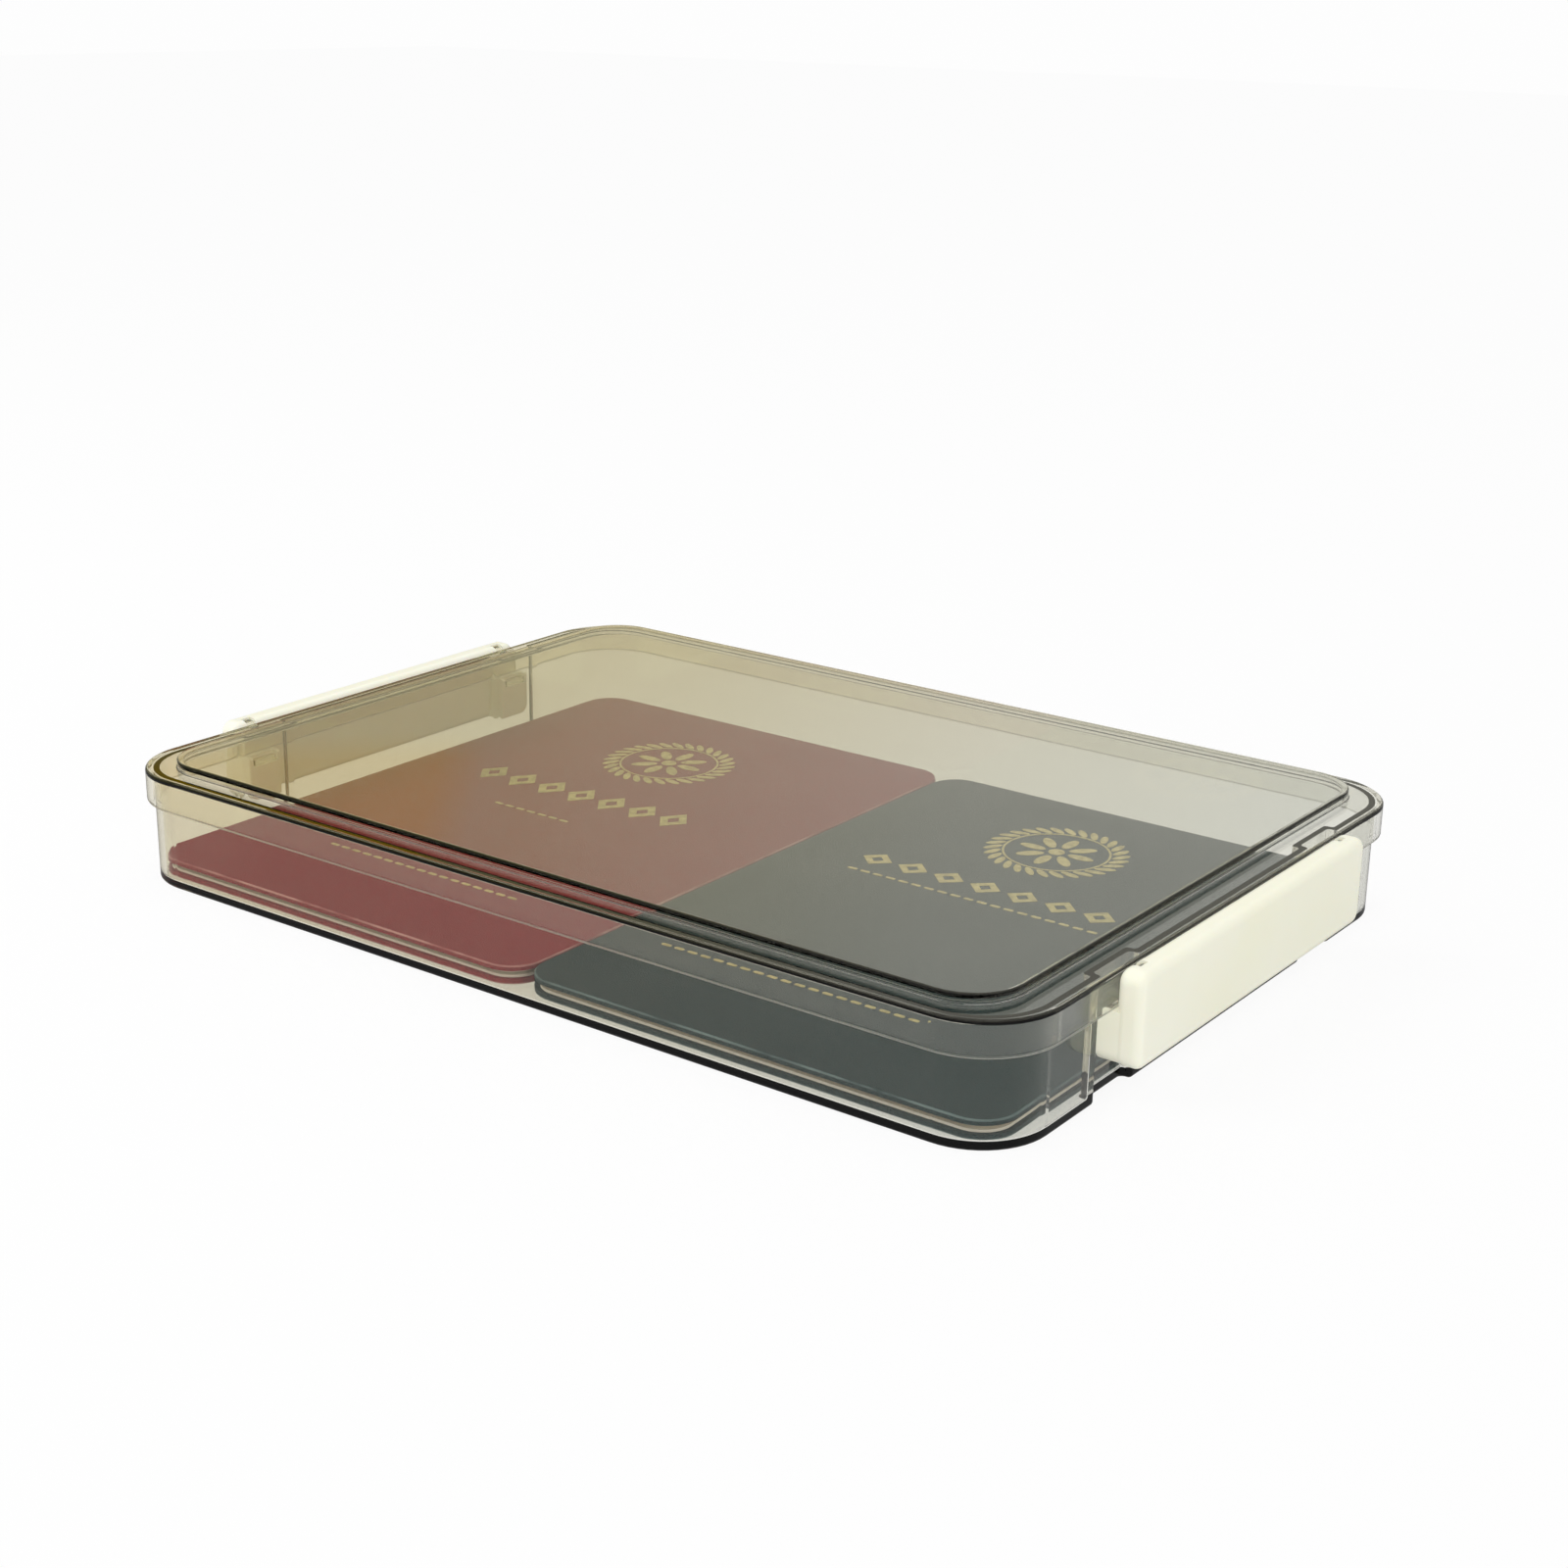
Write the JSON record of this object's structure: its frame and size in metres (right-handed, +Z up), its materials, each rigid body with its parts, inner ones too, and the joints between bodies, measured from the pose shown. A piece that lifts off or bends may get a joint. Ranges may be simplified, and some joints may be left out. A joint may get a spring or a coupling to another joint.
{
  "type": "certificate box",
  "caption": "Clear plastic storage box with a raised-panel lid and ivory clip latches at both ends, holding a red and a green certificate folder side by side.",
  "frame": {"origin": "middle of the tray's underside, on the surface that the box stands on", "axes": "+X along the length towards the right latch, -Y towards the long front side, +Z up"},
  "size_m": [0.362, 0.247, 0.0414],
  "materials": {
    "clear_plastic": "clear smoky tint, polished",
    "ivory_plastic": "satin",
    "red_leatherette": "fine grain",
    "green_leatherette": "fine grain",
    "lining_paper": "matt",
    "sheet_paper": "matt",
    "ribbon": "satin weave",
    "gilt": "stamped foil"
  },
  "bodies": {
    "tray": {"tray": "clear_plastic", "red_folded_cover": "red_leatherette", "red_back_lining": "lining_paper", "red_front_lining": "lining_paper", "red_certificate_sheet": "sheet_paper", "red_corner_ribbons": "ribbon", "red_gilt_medallion": "gilt", "red_gilt_rows": "gilt", "green_folded_cover": "green_leatherette", "green_back_lining": "lining_paper", "green_front_lining": "lining_paper", "green_certificate_sheet": "sheet_paper", "green_corner_ribbons": "ribbon", "green_gilt_medallion": "gilt", "green_gilt_rows": "gilt"},
    "lid": {"lid": "clear_plastic"},
    "left_latch": {"left_latch": "ivory_plastic"},
    "right_latch": {"right_latch": "ivory_plastic"}
  },
  "joints": [
    {"name": "lid_lift", "type": "slide", "parent": "tray", "child": "lid", "axis": [0, 0, 1], "range_m": [0, 0.12]},
    {"name": "left_latch_hinge", "type": "hinge", "parent": "lid", "child": "left_latch", "pos_m": [-0.1757, 0, 0.0365], "axis": [0, 1, 0], "range_deg": [0, 100]},
    {"name": "right_latch_hinge", "type": "hinge", "parent": "lid", "child": "right_latch", "pos_m": [0.1757, 0, 0.0365], "axis": [0, -1, 0], "range_deg": [0, 100]}
  ]
}
